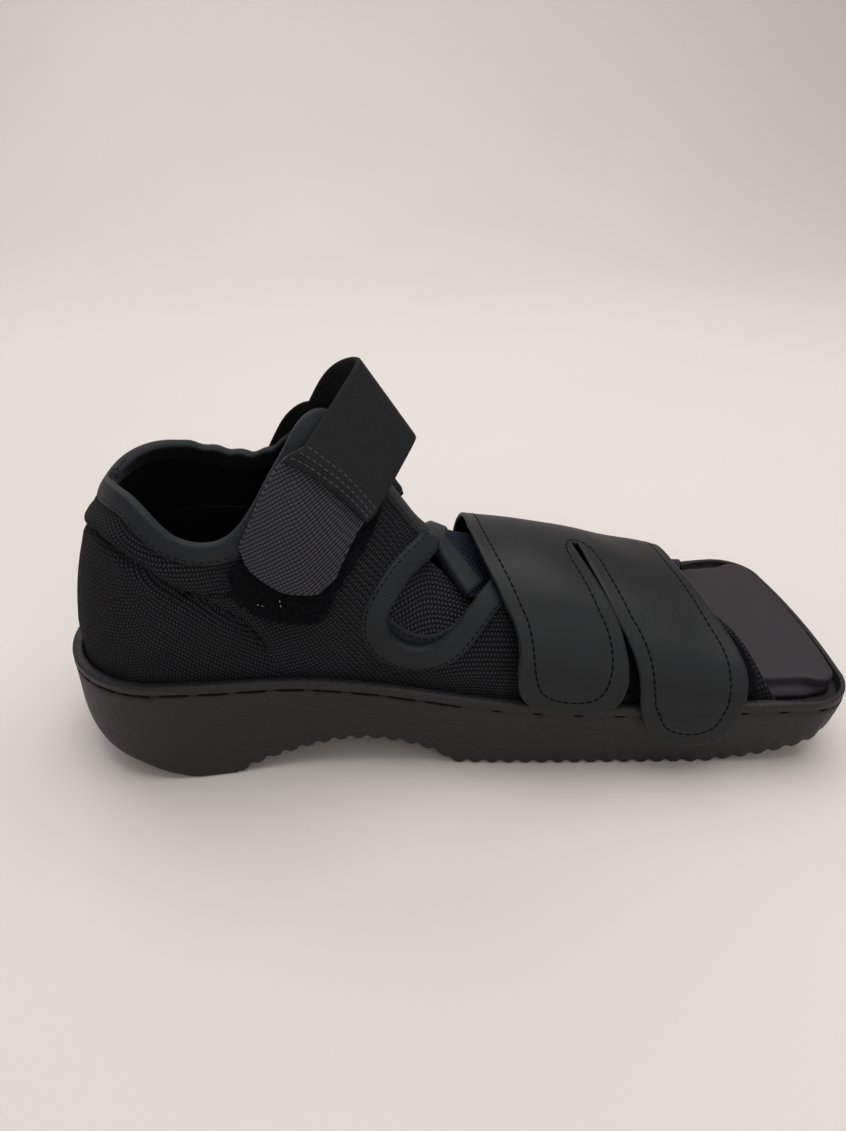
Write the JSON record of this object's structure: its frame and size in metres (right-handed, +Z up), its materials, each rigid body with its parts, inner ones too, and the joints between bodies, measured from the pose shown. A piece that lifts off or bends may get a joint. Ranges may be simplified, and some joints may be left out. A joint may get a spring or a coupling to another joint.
{
  "type": "post operative shoe",
  "caption": "Square-toed rocker-soled recovery shoe, open mesh upper closed by a two-finger forefoot strap and an ankle strap.",
  "frame": {"origin": "on the floor at the middle of the heel's flat seat", "axes": "+X towards the toe, +Z up, the straps close on the -Y side"},
  "size_m": [0.296, 0.1087, 0.1461],
  "materials": {
    "moulded_sole": "matt black foamed sole compound, fine stipple",
    "insole_foam": "smooth matt foam sheet",
    "air_mesh": "black knitted air mesh",
    "tongue_mesh": "dark fine mesh",
    "binding_tape": "stretch binding tape",
    "loop_pile": "fuzzy loop pile",
    "hook_tape": "diagonally woven tape",
    "webbing": "fine plain webbing",
    "coated_strap": "smooth matt coated fabric",
    "thread": "sewing thread"
  },
  "bodies": {
    "root": {"outsole": "moulded_sole", "insole": "insole_foam", "upper": "air_mesh", "tongue": "tongue_mesh", "ankle_loop_patch": "loop_pile", "hook_tab": "hook_tape", "ankle_strap": "webbing", "forefoot_loop_patch": "loop_pile", "forefoot_strap": "coated_strap"}
  },
  "joints": []
}
